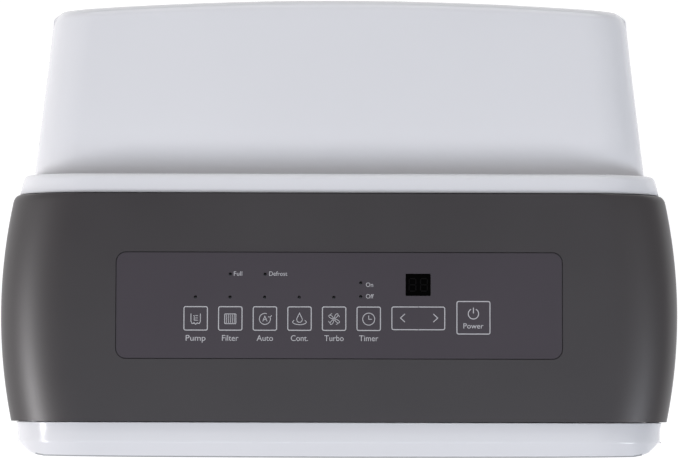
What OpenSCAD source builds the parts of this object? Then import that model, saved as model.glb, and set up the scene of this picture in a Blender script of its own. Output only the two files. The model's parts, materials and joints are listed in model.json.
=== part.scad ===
// Free-standing compressor dehumidifier: a white cabinet on four swivel casters, with a water
// bucket that pulls out at the front, a finned cold coil and fan inside, a filter behind the rear
// grille and a dark control head that saddles the top.
// Frame: origin on the floor under the middle of the cabinet, +Z up, the user stands at -Y.

/* [Overall] */
// Height of the control head's top face above the floor
total_h = 616; // [612:1:620]
// Widest width over the control head
head_w = 385; // [384:1:388]
// Widest width of the white front shell
body_w = 380; // [378:1:381]
// Front face of the cabinet, measured from its middle
front_y = -131; // [-132:0.5:-131]
// Rear wall of the cabinet, measured from its middle
rear_y = 131; // [131:0.5:132]
// Plane where the wide front shell meets the narrower rear housing
join_y = 28.3; // [28.3:0.5:29.3]
// Thickness of the moulded walls
wall = 2.5; // [2.2:0.1:2.6]

/* [Control head] */
// Front edge of the dark control head
head_front_y = -111.2; // [-111.7:0.5:-110.7]
// Rear edge of the dark control head
head_rear_y = 17.8; // [17.3:0.5:18.3]
// Width of the rounded shoulder on each side of the head
shoulder_w = 42; // [38:1:44]
// Drop of the rounded shoulder
shoulder_h = 26; // [22:1:30]
// Width of the touch overlay
overlay_w = 250; // [247:1:252]
// Depth of the touch overlay, front to back
overlay_d = 59.4; // [58.4:0.5:60.4]
// Side of a square key
key_side = 13.7; // [13:0.1:14]
// Travel of a key when it is pressed
key_travel = 0.5; // [0.4:0.1:0.6]

/* [Rear deck] */
// Height of the rear deck where it meets the step behind the head
deck_z = 590; // [586:1:594]
// Fall of the rear deck from its front to its back
deck_fall = 6; // [4:1:8]
// Half the width of the rear housing at its front
rear_half_front = 175.6; // [174:0.2:176]
// Half the width of the rear housing at its back
rear_half_back = 164.4; // [163:0.2:165]

/* [Bucket] */
// Half the width of the water bucket's tub
tub_half_w = 150; // [146:1:151]
// Height of the tub's rim
tub_rim_z = 240; // [236:1:242]
// Top edge of the bucket's front cover
bucket_top_z = 290; // [289:1:290]
// How far the bucket pulls out
bucket_travel = 260; // [200:10:300]

/* [Casters] */
// Radius of a caster wheel
wheel_r = 18; // [17:0.5:18]
// Offset of the wheel's axle behind the swivel axis
caster_trail = 12; // [10:0.5:12]

/* [Hidden] */
$fn = 48;
gap = 0.3;                      // clearance between neighbouring mouldings
side_r = 300;                   // plan radius of the barrel-shaped sides
wide_y = -49.7;                   // where the sides are widest
front_r = 4000;                 // plan radius of the bowed front
rear_r = 2045;                  // plan radius of the bowed rear wall
front_corner_r = 12;
rear_corner_r = 9;
floor_z = 48;                   // underside of the base pan
pan_rim_z = 60;
shell_z = pan_rim_z + gap;
head_seam_z = 560;              // seam between the cabinet and the top mouldings
strip_z = total_h - 3;          // white top face in front of and behind the head
overlay_y = (head_front_y + head_rear_y) / 2 + 0.6;
overlay_z = total_h - 0.3;
overlay_t = 1.2;
pocket_floor_t = 2;
shelf_z = 292;                  // shelf over the bucket bay
bulkhead_y = 4;
fan_z = 430;
fan_y0 = -60;
fan_y1 = bulkhead_y - gap;
wheel_outer_r = 78;
duct_z0 = 312;
duct_z1 = 381;
coil_z0 = 302;
coil_z1 = 552;
coil_half = 135;
filter_y0 = 113.5;
filter_t = 6;
filter_z0 = 300;
filter_z1 = 556;
grille_half = 140;
handle_y0 = -85;
handle_y1 = -5;
handle_z0 = 500;
handle_z1 = 545;
recess_x0 = -150;
recess_x1 = -62;
recess_z0 = 222;
recess_z1 = 278;
recess_y = 104;
drain_x = -124;
hose_x = -84;
outlet_z = 250;
pump_x = -130;
pump_y = -26;
bail_y = -60;
bail_z = 232;
bail_x = tub_half_w + 4;         // middle of the bail's side arms
grip_half = 58;
grip_z0 = 252;
grip_z1 = 278;
float_x = 110;
float_y = -14;
float_z = 215;
board_z = 600;
bar_front = -111.7;               // rear edge of the white ledge in front of the head
bar_rear = 18.3;                // front edge of the white strip behind the head

// name, centre x, centre y from the overlay's middle, width, depth
KEYS = [
    ["key_pump", -80.9, -7, key_side, key_side],
    ["key_filter", -61.5, -7, key_side, key_side],
    ["key_auto", -42.1, -7, key_side, key_side],
    ["key_continuous", -22.7, -7, key_side, key_side],
    ["key_turbo", -3.3, -7, key_side, key_side],
    ["key_timer", 16.1, -7, key_side, key_side],
    ["key_down", 36.3, -7, 15, key_side],
    ["key_up", 51.5, -7, 15, key_side],
    ["key_power", 74.8, -6.6, 19.1, 19.1]];
// indicator lamps: x, y from the overlay's middle
LEDS = [[-80.9, 5.1], [-61.5, 5.1], [-42.1, 5.1], [-22.7, 5.1], [-3.3, 5.1],
    [11.7, 12.9], [11.7, 5.4], [-61.4, 18.1], [-41.9, 18.1]];
led_r = 0.85;
display = [43.9, 12, 14, 12.4];   // centre x, centre y, width, depth

// name, swivel axis x, swivel axis y
CASTERS = [
    ["front_left", -162, -92], ["front_right", 162, -92],
    ["rear_left", -138, 96], ["rear_right", 138, 96]];

SINGLES = ["base_pan", "front_shell", "rear_housing", "top_frame", "top_deck", "front_panel",
    "head_cover", "control_overlay", "display_window", "indicator_lenses", "control_board",
    "handle_cup_left", "handle_cup_right", "air_outlet_grille", "intake_grille",
    "filter_frame", "filter_mesh", "bulkhead", "drip_tray", "evaporator_coil", "condenser_coil",
    "refrigerant_pipes", "compressor", "compressor_mounts", "blower_housing", "blower_wheel",
    "motor_shaft", "fan_motor", "condensate_pump", "water_tubes", "control_box", "run_capacitor",
    "bucket_tub", "bucket_front", "level_window", "bucket_bail", "bucket_float", "float_sensor",
    "drain_outlet", "drain_plug", "pump_hose_socket", "cord_gland", "housing_screws"];

// ---------- outlines ----------

// Points of the arc of radius r that rounds the corner b between a and c
function rounded(a, b, c, r, n = 6) =
    let (u = (a - b) / norm(a - b), v = (c - b) / norm(c - b),
        half = acos(u * v) / 2,
        mid = b + (u + v) / norm(u + v) * r / sin(half),
        s = b + u * r / tan(half) - mid,
        e = b + v * r / tan(half) - mid,
        a0 = atan2(s[1], s[0]),
        turn0 = atan2(e[1], e[0]) - a0,
        turn = turn0 > 180 ? turn0 - 360 : turn0 < -180 ? turn0 + 360 : turn0)
    [for (i = [0:n]) mid + r * [cos(a0 + turn * i / n), sin(a0 + turn * i / n)]];

function barrel_x(y, half) = half - pow(y - wide_y, 2) / (2 * side_r);

// Plan of the front shell: barrel sides, bowed front, rounded front corners, straight back at yb
function front_plan(half, yf, yb, r) =
    let (xv = barrel_x(yf + 4, half),
        yv = yf + xv * xv / (2 * front_r),
        corner = [barrel_x(yv, half), yv],
        side = [for (i = [0:12]) let (y = yb + (yv + 22 - yb) * i / 12) [barrel_x(y, half), y]],
        bow = [for (i = [0:8]) let (x = (xv - 24) * (1 - i / 4)) [x, yf + x * x / (2 * front_r)]],
        right = concat(side, rounded(side[12], corner, bow[0], r)))
    concat(right, bow, [for (i = [len(right) - 1:-1:0]) [-right[i][0], right[i][1]]]);

// Plan of the rear housing: sides drawn in towards the back, bowed rear wall, straight front at yf
function rear_plan(inset, yf) =
    let (slope = (rear_half_front - rear_half_back) / (rear_y - join_y),
        xr = rear_half_back - inset,
        yr = rear_y - inset,
        corner = [xr, yr - xr * xr / (2 * rear_r)],
        start = [xr + slope * (corner[1] - yf), yf],
        bow = [for (i = [0:8]) let (x = (xr - 20) * (1 - i / 4)) [x, yr - x * x / (2 * rear_r)]],
        right = concat([start], rounded(start, corner, bow[0], rear_corner_r - inset)))
    concat(right, bow, [for (i = [len(right) - 1:-1:0]) [-right[i][0], right[i][1]]]);

// Section across the cabinet: flat in the middle, elliptical shoulders
function arch(half, top, drop_w, drop_h, bottom, n = 10) =
    concat([[half, bottom]],
        [for (i = [0:n]) let (a = 90 * i / n)
            [half - drop_w + drop_w * cos(a), top - drop_h + drop_h * sin(a)]],
        [for (i = [n:-1:0]) let (a = 90 * i / n)
            [-half + drop_w - drop_w * cos(a), top - drop_h + drop_h * sin(a)]],
        [[-half, bottom]]);

module upright(points, z0, z1) translate([0, 0, z0]) linear_extrude(z1 - z0) polygon(points);
module across(points, y0, y1)
    translate([0, y1, 0]) rotate([90, 0, 0]) linear_extrude(y1 - y0) polygon(points);
module block(x0, x1, y0, y1, z0, z1) translate([x0, y0, z0]) cube([x1 - x0, y1 - y0, z1 - z0]);
module rod_y(x, z, r, y0, y1) translate([x, y1, z]) rotate([90, 0, 0]) cylinder(r = r, h = y1 - y0);
module rod_x(y, z, r, x0, x1) translate([x0, y, z]) rotate([0, 90, 0]) cylinder(r = r, h = x1 - x0);
module rod_z(x, y, r, z0, z1) translate([x, y, z0]) cylinder(r = r, h = z1 - z0);
module rounded_plate(w, d, r, h)
    linear_extrude(h) polygon(concat(
        rounded([w / 2, -d / 2], [w / 2, d / 2], [-w / 2, d / 2], r),
        rounded([w / 2, d / 2], [-w / 2, d / 2], [-w / 2, -d / 2], r),
        rounded([-w / 2, d / 2], [-w / 2, -d / 2], [w / 2, -d / 2], r),
        rounded([-w / 2, -d / 2], [w / 2, -d / 2], [w / 2, d / 2], r)));

function front_outer(inset, yb) = front_plan(body_w / 2 - inset, front_y + inset, yb,
    front_corner_r - inset);

// ---------- cabinet ----------

module base_pan() color("whitesmoke") {
    lip = 4;
    difference() {
        union() {
            upright(front_outer(0, join_y), floor_z, pan_rim_z);
            upright(rear_plan(0, join_y - 1), floor_z, pan_rim_z);
        }
        upright(front_outer(wall, join_y - wall), floor_z + 3, pan_rim_z + 1);
        upright(rear_plan(wall, join_y - 10), floor_z + 3, pan_rim_z + 1);
        // the bucket slides out over the lowered front lip
        block(-body_w, body_w, front_y - 5, -112, pan_rim_z - lip, pan_rim_z + 1);
        for (c = CASTERS) rod_z(c[1], c[2], 4.1, floor_z - 1, floor_z + 4);
    }
    for (c = CASTERS) difference() {
        rod_z(c[1], c[2], 8, floor_z + 2, floor_z + 16);
        rod_z(c[1], c[2], 4.1, floor_z - 1, floor_z + 14.5);
    }
    for (s = [-1, 1]) block(s * 120 - 3, s * 120 + 3, -108, -10, floor_z + 2, 56.5);
}

module front_shell() color("white") difference() {
    union() {
        difference() {
            upright(front_outer(0, join_y), shell_z, head_seam_z - gap);
            upright(front_outer(wall, join_y + 1), shell_z - 1, head_seam_z);
            block(-body_w, body_w, front_y - 5, -112, 0, total_h);
        }
        intersection() {
            upright(front_outer(1, bulkhead_y - gap), shelf_z, shelf_z + 3);
            block(-body_w, body_w, -110, bulkhead_y - gap, 0, total_h);
        }
        intersection() {
            upright(front_outer(1, 28), head_seam_z - 14, head_seam_z - gap);
            block(-body_w, body_w, 15, 28, 0, total_h);
        }
        // flange that closes the step down to the narrower rear housing
        difference() {
            upright(front_outer(0.5, join_y), shell_z, head_seam_z - gap);
            block(-171, 171, -200, 60, 0, total_h);
            block(-body_w, body_w, -200, join_y - wall, 0, total_h);
        }
    }
    for (s = [-1, 1]) block(s * 180 - 15, s * 180 + 15, handle_y0 - gap, handle_y1 + gap,
        handle_z0 - gap, handle_z1 + gap);
    block(160, 200, fan_y0 - 3, 3, duct_z0 - 3, duct_z1 + 5);
}

module front_panel() color("white") difference() {
    upright(front_outer(0, -100), bucket_top_z + 2, head_seam_z - gap);
    upright(front_outer(wall, -99), bucket_top_z, head_seam_z);
    block(-body_w, body_w, -112 - gap, 0, 0, total_h);
}

module rear_housing() color("white") {
    screw_spots = [for (s = [-1, 1]) for (z = [90, 200, 566]) [s * 148, z]];
    difference() {
        union() {
            difference() {
                upright(rear_plan(0, join_y + gap), shell_z, 570);
                upright(rear_plan(wall, join_y), shell_z - 1, 571);
            }
            // service recess for the drain outlet and the pump's hose
            block(recess_x0, recess_x1, recess_y, 126, recess_z0, recess_z1);
            // rails that hold the filter
            intersection() {
                upright(rear_plan(1, 80), shell_z, 570);
                for (z = [filter_z0 - 4, filter_z1 + 1])
                    block(-155, 150, filter_y0 - 3, 140, z, z + 2.5);
            }
            for (p = screw_spots) rod_y(p[0], p[1], 4, 112, 124);
        }
        block(-grille_half - gap, grille_half + gap, 118, 140, filter_z0 - gap, filter_z1 + gap);
        block(recess_x0 + wall, recess_x1 - wall, recess_y + wall, 140,
            recess_z0 + wall, recess_z1 - wall);
        // slot that the filter slides out through
        block(-200, -150, filter_y0 - 0.6, filter_y0 + filter_t + 0.6,
            filter_z0 - 0.6, filter_z1 + 0.6);
        rod_y(drain_x, outlet_z, 9.3, recess_y - 1, recess_y + 5);
        rod_y(hose_x, outlet_z, 8.3, recess_y - 1, recess_y + 5);
        rod_y(118, 108, 9, 120, 140);
        for (p = screw_spots) {
            rod_y(p[0], p[1], 1.9, 111, 140);
            rod_y(p[0], p[1], 3.8, 122, 140);
        }
    }
}

// Side view of the cabinet's top with the ledge rounded down into the front face
function ledge_profile(inset) =
    let (r = 11, edge = front_y + inset, top = strip_z - inset)
    concat([[join_y - inset, head_seam_z - 1], [join_y - inset, top], [bar_front, top]],
        rounded([bar_front, top], [edge, top - 5], [edge, head_seam_z], r),
        [[edge, head_seam_z - 1]]);
module lengthwise(points) rotate([90, 0, 90]) translate([0, 0, -200]) linear_extrude(400)
    polygon(points);

module top_frame() color("white") {
    skin = 3;
    difference() {
        union() {
            intersection() {
                upright(front_outer(0, join_y), head_seam_z, total_h);
                lengthwise(ledge_profile(0));
                union() {
                    across(arch(body_w / 2, strip_z, shoulder_w, shoulder_h, head_seam_z),
                        front_y - 5, bar_front);
                    across(arch(body_w / 2, strip_z, shoulder_w, shoulder_h, head_seam_z),
                        bar_rear, join_y);
                }
            }
            // tray under the head
            intersection() {
                upright(front_outer(6, join_y - 2), head_seam_z, head_seam_z + 12);
                block(-body_w, body_w, bar_front - 2, bar_rear + 2, 0, total_h);
            }
        }
        intersection() {
            upright(front_outer(skin, join_y - skin), head_seam_z - 1, total_h);
            lengthwise(ledge_profile(skin));
            across(arch(body_w / 2 - skin, strip_z - skin, shoulder_w, shoulder_h, head_seam_z - 1),
                front_y, bar_front - skin);
        }
        intersection() {
            upright(front_outer(skin, join_y - skin), head_seam_z - 1, total_h);
            across(arch(body_w / 2 - skin, strip_z - skin, shoulder_w, shoulder_h, head_seam_z - 1),
                bar_rear + skin, join_y - skin);
        }
        intersection() {
            upright(front_outer(6 + skin, join_y - 2), head_seam_z + skin, head_seam_z + 13);
            block(-body_w, body_w, bar_front - 1, bar_rear + 1, 0, total_h);
        }
    }
    // posts that carry the control board
    for (x = [-112, 112]) for (y = [-70, -24]) rod_z(x, y, 4, head_seam_z + 2, board_z - gap);
}

module top_deck() color("white") {
    profile = function (inset) concat(
        [[join_y + inset + gap, 571], [join_y + inset + gap, deck_z - inset]],
        [for (i = [0:5]) let (a = 90 - 18 * i, r = 5 - inset)
            [rear_y - 5 + r * cos(a), deck_z - deck_fall - 5 + r * sin(a)]],
        [[rear_y - inset, 571]]);
    difference() {
        intersection() {
            upright(rear_plan(0, join_y + gap), 571, total_h);
            across(arch(rear_half_front, deck_z, 30, 16, 571), join_y, rear_y + 2);
            lengthwise(profile(0));
        }
        intersection() {
            upright(rear_plan(wall, join_y + 3), 570, total_h);
            across(arch(rear_half_front - wall, deck_z - wall, 30, 16, 570), join_y, rear_y + 2);
            lengthwise(concat([[join_y + wall + gap, 570]], [for (p = profile(wall)) if (p[1] > 571) p],
                [[rear_y - wall, 570]]));
        }
    }
}

module handle_cup(side) color("dimgray") intersection() {
    upright(front_outer(0.4, join_y), 0, total_h);
    mirror([side < 0 ? 1 : 0, 0, 0]) difference() {
        block(160, 195, handle_y0, handle_y1, handle_z0, handle_z1);
        block(162, 200, handle_y0 + 2, handle_y1 - 2, handle_z0 + 2, handle_z1 - 2);
    }
}

module bulkhead() color("gainsboro") difference() {
    block(-178, 178, bulkhead_y, bulkhead_y + wall, floor_z + 3 + gap, head_seam_z - 16);
    rod_y(0, fan_z, 70, 0, 20);
    block(-61, -39, 0, 20, 266, 282);
    for (z = [306, 340]) rod_y(pump_x, z, 4, 0, 20);
}

module air_outlet_grille() color("dimgray") intersection() {
    upright(front_outer(0.3, join_y), 0, total_h);
    union() {
        difference() {
            block(180, 195, fan_y0 - 2.7, 2.7, duct_z0 - 2.7, duct_z1 + 4.7);
            block(170, 200, fan_y0 + 1, -1, duct_z0 + 1, duct_z1 + 1);
        }
        for (i = [0:6]) let (z = duct_z0 + 8 + i * 9)
            translate([0, 0, z]) hull() {
                block(181, 182, fan_y0, 0, 0, 1.6);
                block(189, 190, fan_y0, 0, -4, -2.4);
            }
        block(182, 189, -31.5, -29.5, duct_z0, duct_z1 + 3);
    }
}

module intake_grille() color("gainsboro") difference() {
    intersection() {
        difference() {
            upright(rear_plan(0, 90), filter_z0, filter_z1);
            upright(rear_plan(2, 80), filter_z0 - 1, filter_z1 + 1);
        }
        block(-grille_half, grille_half, 110, 140, 0, total_h);
    }
    for (i = [0:24]) for (j = [0:3])
        let (x = -131 + j * 66.5, z = filter_z0 + 9 + i * 9.7)
            block(x, x + 62.5, 110, 140, z, z + 5.4);
}

// ---------- filter ----------

module filter_frame() color("slategray") {
    y1 = filter_y0 + filter_t;
    difference() {
        block(-148, 142, filter_y0, y1, filter_z0, filter_z1);
        for (i = [0:2]) for (j = [0:2])
            let (x = -142 + i * 94.2, z = filter_z0 + 6 + j * 82)
                block(x, x + 89.6, filter_y0 - 1, y1 + 1, z, z + 80 - 2 * (j == 2 ? 1 : 0));
    }
    // pull strip that closes the slot in the side wall
    intersection() {
        upright(rear_plan(0.4, 90), filter_z0, filter_z1);
        block(-175, -147, filter_y0, y1, filter_z0, filter_z1);
    }
}

module filter_mesh() color("darkgray") {
    for (i = [0:2]) for (j = [0:2])
        let (x = -142 + i * 94.2, z = filter_z0 + 6 + j * 82)
            block(x + 0.2, x + 89.4, filter_y0 + 2.6, filter_y0 + 3.4,
                z + 0.2, z + 79.8 - 2 * (j == 2 ? 1 : 0));
}

// ---------- refrigeration ----------

module coil(y0, y1, rows) {
    pitch = (coil_z1 - coil_z0) / rows;
    fins = 23;
    y = (y0 + y1) / 2;
    for (i = [0:fins]) let (x = -coil_half + i * (2 * coil_half - 1) / fins)
        block(x, x + 1, y0, y1, coil_z0, coil_z1);
    for (r = [0:rows - 1]) rod_x(y, coil_z0 + pitch * (r + 0.5), 4, -coil_half - 7, coil_half + 7);
    // return bends
    for (r = [0:rows - 2]) let (s = r % 2 == 0 ? 1 : -1, z = coil_z0 + pitch * (r + 1))
        rod_z(s * (coil_half + 7), y, 5, z - pitch / 2 - 5.5, z + pitch / 2 + 5.5);
}

module evaporator_coil() color("silver") coil(90, 108, 8);
module condenser_coil() color("silver") coil(62, 80, 8);

module pipe(points, r) {
    for (i = [0:len(points) - 2]) let (a = points[i], b = points[i + 1], d = b - a)
        translate(a) rotate([0, acos(d[2] / norm(d)), atan2(d[1], d[0])])
            cylinder(r = r, h = norm(d), $fn = 20);
    for (i = [1:len(points) - 2]) translate(points[i]) sphere(r = r, $fn = 20);
}

module refrigerant_pipes() color("peru") {
    pipe([[18, 66, 256.4], [18, 66, 268], [156, 66, 268], [156, 71, 536], [147.2, 71, 536]], 3.5);
    pipe([[147.2, 99, 318], [157, 99, 318], [157, 99, 257], [76, 99, 257], [76, 66, 257],
        [76, 66, 230.4]], 4);
    pipe([[-147.2, 71, 536], [-156, 71, 536], [-156, 99, 536], [-147.2, 99, 536]], 1.5);
}

module compressor() color("black") {
    translate([0, 66, 0]) rotate_extrude() polygon([
        [0, 62], [44, 62], [50, 68], [52, 76], [52, 222], [48, 236], [36, 248], [18, 255],
        [0, 256], [0, 252], [16, 251], [33, 244], [44, 233], [48, 221], [48, 77], [46, 70],
        [42, 66], [0, 66]]);
    rod_z(0, 66, 34, 82, 196);
    rod_z(76, 66, 18, 118, 230);
    difference() {
        block(-46, 46, 58, 74, 59.2, 61.8);
        for (s = [-1, 1]) rod_z(s * 40, 66, 4.2, 55, 66);
    }
}

module compressor_mounts() color("dimgray") for (s = [-1, 1]) {
    rod_z(s * 40, 66, 8, floor_z + 3, 59);
    rod_z(s * 40, 66, 4, 58.9, 61.8);
}

module drip_tray() color("whitesmoke") {
    difference() {
        block(-146, 146, 52, 109.5, 280, 298);
        block(-143.5, 143.5, 54.5, 107, 283, 299);
        rod_z(-50, 60, 5, 270, 290);
    }
    // channel that carries the water forward over the bucket
    difference() {
        block(-58, -42, -30, 68, 268, 280);
        block(-55.5, -44.5, -31, 65, 270.5, 281);
        rod_z(-50, 60, 5, 279, 290);
    }
}

// ---------- fan ----------

// Spiral wall of the blower: radius grows against the outlet, which opens towards +X
function spiral(r0, r1, x_out, z_in) = concat(
    [for (i = [0:24]) let (a = -35 + 305 * i / 24, r = r0 + (r1 - r0) * i / 24)
        [r * cos(a), r * sin(a)]],
    [[x_out, -r1], [x_out, z_in]]);

module blower_housing() color("gainsboro") translate([0, 0, fan_z]) {
    tongue = -85 * sin(35);
    difference() {
        across(spiral(85, 118, 178, tongue), fan_y0, fan_y1);
        across(spiral(82.6, 115.6, 179, tongue - 2.4), fan_y0 + 2.4, fan_y1 + 1);
        rod_y(0, 0, 16, fan_y0 - 1, fan_y0 + 5);
    }
}

module blower_wheel() color("dimgray") translate([0, 0, fan_z]) {
    blades = 30;
    y0 = fan_y0 + 5;
    y1 = fan_y1 - 5;
    difference() {
        union() {
            rod_y(0, 0, wheel_outer_r, y0, y0 + 2.5);
            rod_y(0, 0, 12, y0, y0 + 24);
        }
        rod_y(0, 0, 4, y0 - 1, y0 + 30);
    }
    difference() {
        rod_y(0, 0, wheel_outer_r, y1 - 4, y1);
        rod_y(0, 0, wheel_outer_r - 6, y1 - 5, y1 + 1);
    }
    for (i = [0:blades - 1]) rotate([0, i * 360 / blades, 0]) translate([70.5, y0, 0])
        rotate([0, 30, 0]) translate([-6, 0.5, -0.8]) cube([12, y1 - y0 - 2, 1.6]);
}

module motor_shaft() color("silver") difference() {
    rod_y(0, fan_z, 3.95, -108.5, fan_y0 + 28);
    block(-5, 5, fan_y0 + 4, fan_y0 + 40, fan_z + 3.4, fan_z + 6);
}

module fan_motor() color("darkslategray") difference() {
    union() {
        rod_y(0, fan_z, 40, -104, -70);
        rod_y(0, fan_z, 14, -112, -62.5);
        for (a = [30, 150, 270]) translate([0, 0, fan_z]) rotate([0, a, 0])
            block(30, 64, -80, -76, -5, 5);
        for (a = [30, 150, 270]) translate([0, 0, fan_z]) rotate([0, a, 0])
            rod_y(60, 0, 5, -80, fan_y0 - gap);
    }
    rod_y(0, fan_z, 4.05, -109, -60);
}

// ---------- water side ----------

module condensate_pump() color("darkslategray") {
    rod_z(pump_x, pump_y, 17, shelf_z + 3.2, shelf_z + 34);
    rod_z(pump_x, pump_y, 12, shelf_z + 34, shelf_z + 58);
    for (z = [306, 340]) difference() {
        rod_y(pump_x, z, 3.6, pump_y + 8, pump_y + 22);
        rod_y(pump_x, z, 2.6, pump_y + 17, pump_y + 23);
    }
}

// Suction from the drip tray, delivery to the hose socket and gravity drain to the outlet
module water_tubes() color("lightgray") {
    start_y = pump_y + 17.5;
    pipe([[pump_x, start_y, 306], [pump_x, 58, 306], [pump_x, 58, 285]], 2.5);
    pipe([[pump_x, start_y, 340], [pump_x, 26, 340], [hose_x, 26, 340],
        [hose_x, 26, outlet_z], [hose_x, recess_y - 8.2, outlet_z]], 2.5);
    pipe([[drain_x, 84, 279.8], [drain_x, 84, outlet_z], [drain_x, recess_y - 8.2, outlet_z]], 6);
}

module bucket_tub() color("gainsboro") {
    t = 2.2;
    y0 = -116;
    y1 = -4;
    mid = (y0 + y1) / 2;
    difference() {
        translate([0, mid, 57]) rounded_plate(2 * tub_half_w, y1 - y0, 12, tub_rim_z - 57);
        translate([0, mid, 57 + t]) rounded_plate(2 * (tub_half_w - t), y1 - y0 - 2 * t, 10, 300);
    }
    // rolled rim
    difference() {
        translate([0, mid, tub_rim_z - 3]) rounded_plate(2 * tub_half_w + 2, y1 - y0 + 2, 13, 3);
        translate([0, mid, tub_rim_z - 4]) rounded_plate(2 * (tub_half_w - t), y1 - y0 - 2 * t, 10, 9);
    }
    // pivots of the carrying bail
    for (s = [-1, 1]) {
        rod_x(bail_y, bail_z, 3, s * (bail_x - 1) - 4, s * (bail_x - 1) + 4);
        rod_x(bail_y, bail_z, 4.6, s * (bail_x + 3.2) - 0.9, s * (bail_x + 3.2) + 0.9);
    }
    // ears and pin of the float
    for (x = [float_x - 20, float_x + 17]) block(x, x + 3, float_y - 5, y1 - 1, float_z - 5, float_z + 5);
    rod_x(float_y, float_z, 2, float_x - 18, float_x + 18);
    // spacers behind the front cover
    for (x = [-120, 120]) for (z = [90, 215]) rod_y(x, z, 6, -126.3, y0 + 1);
}

module bucket_front() color("white") {
    difference() {
        upright(front_outer(0, -100), pan_rim_z - 3.4, bucket_top_z);
        upright(front_outer(wall, -99), pan_rim_z, bucket_top_z + 1);
        block(-body_w, body_w, -112 - gap, 0, 0, total_h);
        upright(front_outer(6, -99), pan_rim_z - 10, pan_rim_z + 1);
        // window that the fingers reach through
        block(-grip_half, grip_half, front_y - 5, -124, grip_z0, grip_z1);
        // slot of the level window
        block(103, 117, front_y - 5, -124, 96, 236);
    }
    // pocket behind the window, higher than it, so that the fingers hook behind the edge
    difference() {
        block(-grip_half - 2, grip_half + 2, -129.5, -106, grip_z0 - 2, bucket_top_z);
        block(-grip_half, grip_half, -140, -108, grip_z0, bucket_top_z - 2);
    }
}

module level_window() color("lightsteelblue") intersection() {
    upright(front_outer(0.3, -100), 0, total_h);
    block(103.3, 116.7, front_y - 5, -126.5, 96.3, 235.7);
}

module bucket_bail() color("white") {
    reach_y = bail_y - 38;
    reach_z = bail_z + 12;
    for (s = [-1, 1]) difference() {
        hull() {
            rod_x(bail_y, bail_z, 6, s * bail_x - 1.9, s * bail_x + 1.9, $fn = 32);
            rod_x(reach_y, reach_z, 3.2, s * bail_x - 1.9, s * bail_x + 1.9, $fn = 32);
        }
        rod_x(bail_y, bail_z, 3.08, s * bail_x - 5, s * bail_x + 5);
    }
    rod_x(reach_y, reach_z, 3.2, -bail_x, bail_x);
    rod_x(reach_y, reach_z, 6.6, -45, 45);
}

module bucket_float() color("royalblue") difference() {
    union() {
        block(float_x - 15, float_x + 15, -62, -30, 190, 214);
        block(float_x - 8, float_x + 8, -31, float_y - 2, 203, 211);
        rod_x(float_y, float_z, 4.5, float_x - 14, float_x + 14);
        block(float_x - 8, float_x + 8, float_y - 8, float_y, 206, 214);
    }
    rod_x(float_y, float_z, 2.1, float_x - 20, float_x + 20);
}

module float_sensor() color("darkgreen") block(float_x - 14, float_x + 14, -40, -12, 280, shelf_z - gap);

module drain_outlet() color("dimgray") difference() {
    union() {
        rod_y(drain_x, outlet_z, 13.2, recess_y + wall + 2.2, 128);
        rod_y(drain_x, outlet_z, 17, recess_y + wall + 0.2, recess_y + wall + 2.2);
        rod_y(drain_x, outlet_z, 9, recess_y - 8, recess_y + wall + 0.2);
    }
    rod_y(drain_x, outlet_z, 7, recess_y - 9, 129);
}

module drain_plug() color("dimgray") {
    rod_y(drain_x, outlet_z, 6.95, 116, 128);
    rod_y(drain_x, outlet_z, 9.5, 128.2, 130);
    rod_y(drain_x, outlet_z, 4, 127, 129);
}

module pump_hose_socket() color("whitesmoke") difference() {
    union() {
        rod_y(hose_x, outlet_z, 8, recess_y - 8, 120);
        rod_y(hose_x, outlet_z, 11, recess_y + wall + 0.2, recess_y + wall + 3);
    }
    rod_y(hose_x, outlet_z, 3.25, recess_y - 2, 121);
}

module cord_gland() color("dimgray") {
    edge = rear_y - 118 * 118 / (2 * rear_r);
    difference() {
        union() {
            rod_y(118, 108, 11.5, edge + 1, edge + 3.4);
            rod_y(118, 108, 8.8, edge - 8, edge + 1.5);
            difference() {
                rod_y(118, 108, 11.5, edge - 8, edge - 4.5);
                block(100, 140, 80, edge - 4.5, 130, 140);
            }
        }
        rod_y(118, 108, 4, edge - 9, edge + 5);
    }
}

module housing_screws() color("silver")
    for (s = [-1, 1]) for (z = [90, 200, 566]) difference() {
        union() {
            rod_y(s * 148, z, 3.5, 122.2, 124.6);
            rod_y(s * 148, z, 1.75, 112.5, 122.3);
        }
        for (a = [0, 90]) translate([s * 148, 0, z]) rotate([0, a, 0])
            block(-2, 2, 123.4, 126, -0.4, 0.4);
    }

// ---------- electrics ----------

module control_box() color("whitesmoke") difference() {
    block(78, 156, -110, -68, 432, 540);
    block(80.5, 153.5, -107.5, -70.5, 434.5, 541);
}

module run_capacitor() color("gray") {
    rod_z(-118, -88, 17, 470, 534);
    for (s = [-1, 1]) block(-118 + s * 6 - 3, -118 + s * 6 + 3, -88.4, -87.6, 534, 541);
}

module control_board() color("darkgreen") {
    difference() {
        block(-118, 118, -76, -18, board_z, board_z + 1.6);
        for (x = [-112, 112]) for (y = [-70, -24]) rod_z(x, y, 1.6, board_z - 1, board_z + 3);
    }
    // a push switch under each key
    for (k = KEYS) translate([k[1], overlay_y + k[2], board_z + 1.5]) {
        translate([-3, -3, 0]) cube([6, 6, 2.7]);
        cylinder(r = 1.7, h = 3.7);
    }
}

// ---------- control head ----------

module key_holes(extra, z0, z1) for (k = KEYS)
    translate([k[1], overlay_y + k[2], z0])
        rounded_plate(k[3] + extra, k[4] + extra, 1.2 + extra / 2, z1 - z0);

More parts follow.
